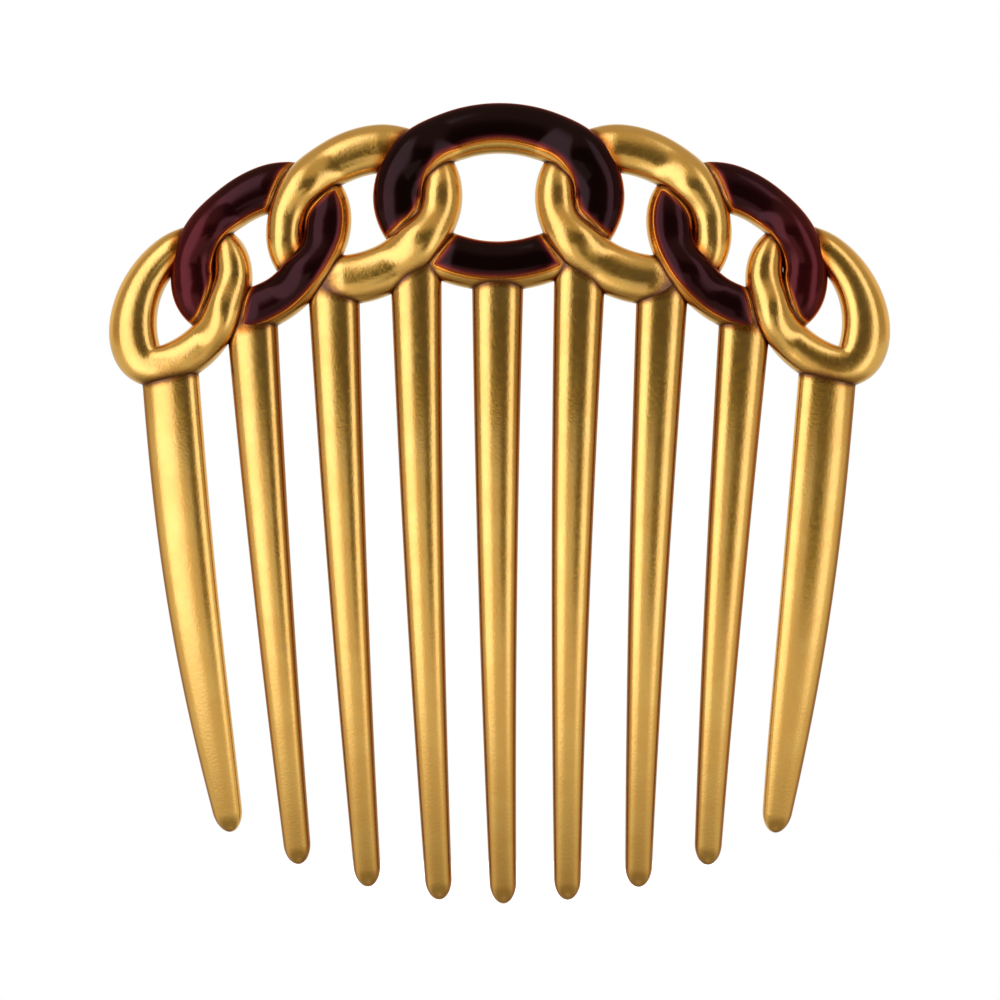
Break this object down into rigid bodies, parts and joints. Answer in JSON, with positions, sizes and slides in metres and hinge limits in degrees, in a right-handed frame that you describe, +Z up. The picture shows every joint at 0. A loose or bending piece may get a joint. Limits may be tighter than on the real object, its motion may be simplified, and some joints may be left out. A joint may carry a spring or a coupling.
{
  "type": "decorative hair comb",
  "caption": "Curved gold-tone hair comb with a heading of interlocked oval links, some of them enamelled, above long tapering teeth.",
  "frame": {"origin": "the root of the middle tooth, where the lowest point of the centre link meets it, on the plane of symmetry", "axes": "+Z up from the teeth to the heading, +X to the right seen from the front, -Y the way the decorated front faces"},
  "size_m": [0.09, 0.0158, 0.0922],
  "materials": {
    "gold": "satin antique gold plate over a fine cast surface, brown in the creases",
    "enamel": "high-gloss dark oxblood enamel, amber where it thins at its edges"
  },
  "bodies": {
    "root": {"centre_link": "gold", "left_inner_link": "gold", "right_inner_link": "gold", "left_side_link": "gold", "right_side_link": "gold", "left_end_link": "gold", "right_end_link": "gold", "centre_upper_enamel": "enamel", "centre_lower_enamel": "enamel", "left_upper_enamel": "enamel", "left_lower_enamel": "enamel", "right_upper_enamel": "enamel", "right_lower_enamel": "enamel", "tooth_1": "gold", "tooth_2": "gold", "tooth_3": "gold", "tooth_4": "gold", "tooth_5": "gold", "tooth_6": "gold", "tooth_7": "gold", "tooth_8": "gold", "tooth_9": "gold"}
  },
  "joints": []
}
